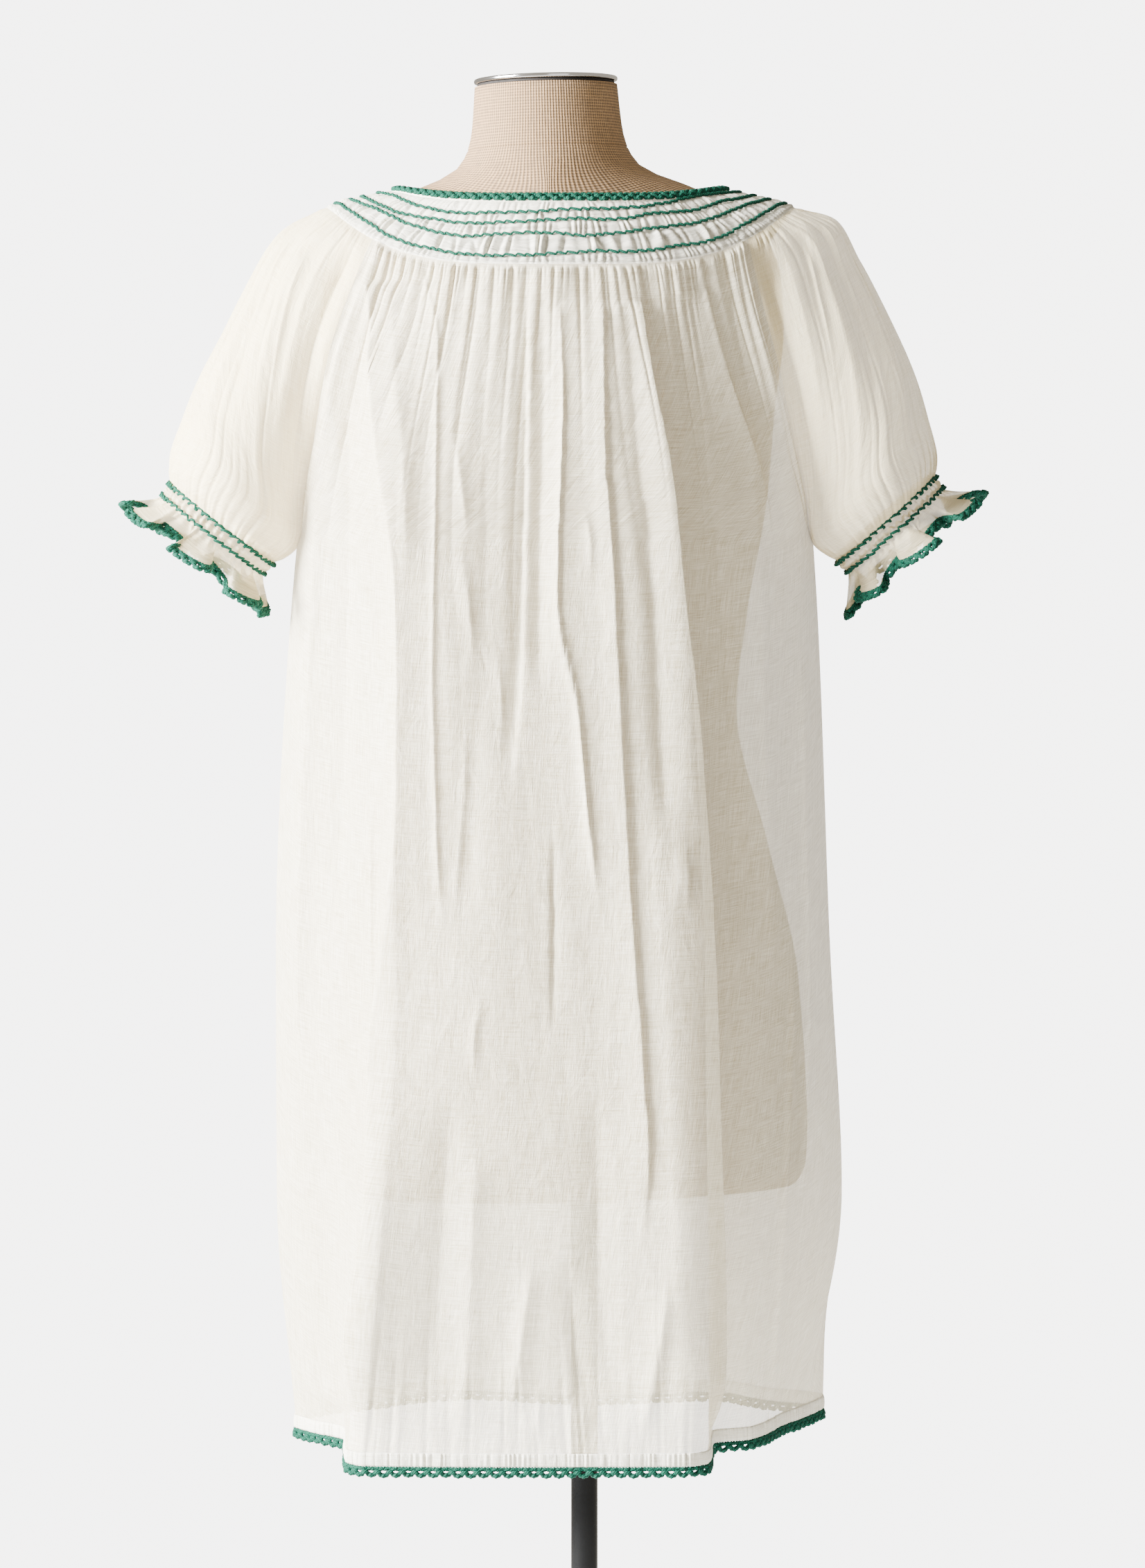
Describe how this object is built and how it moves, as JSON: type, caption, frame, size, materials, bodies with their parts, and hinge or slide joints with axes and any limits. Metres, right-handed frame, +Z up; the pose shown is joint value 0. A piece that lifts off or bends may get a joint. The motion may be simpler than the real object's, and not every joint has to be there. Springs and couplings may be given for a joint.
{
  "type": "mini dress on a dress form",
  "caption": "Loose cotton mini dress with a smocked round yoke, raglan puff sleeves, frilled cuffs and crochet edging, on a limbless linen dress form with a round black stand.",
  "frame": {"origin": "middle of the base's underside, on the axis of the upright pole", "axes": "+Z up. -Y is the pictured side, which is the back of the dress, and +Y is its front. +X is on the right of someone who looks at the back."},
  "size_m": [0.6514, 0.38, 1.5011],
  "materials": {
    "voile": "thin off-white cotton voile, matt, slightly see-through",
    "sleeve_voile": "the same cotton voile, creamier where it is doubled or gathered",
    "green_cotton": "matt green cotton yarn and crochet",
    "linen": "coarse natural linen, tightly covered",
    "dark_gap": "matt black",
    "chrome": "polished chrome",
    "black_paint": "glossy black paint on steel"
  },
  "bodies": {
    "root": {"back": "voile", "front": "voile", "sleeve_left": "sleeve_voile", "sleeve_right": "sleeve_voile", "smocked_yoke": "voile", "neck_band": "voile", "neck_braid": "green_cotton", "cuff_left": "sleeve_voile", "cuff_right": "sleeve_voile", "cuff_edging_left": "green_cotton", "cuff_edging_right": "green_cotton", "hem_band": "voile", "hem_edging": "green_cotton", "form_torso": "linen", "neck_cap_ring": "dark_gap", "neck_cap": "chrome", "stand_pole": "black_paint", "stand_collar": "black_paint", "stand_base": "black_paint"}
  },
  "joints": []
}
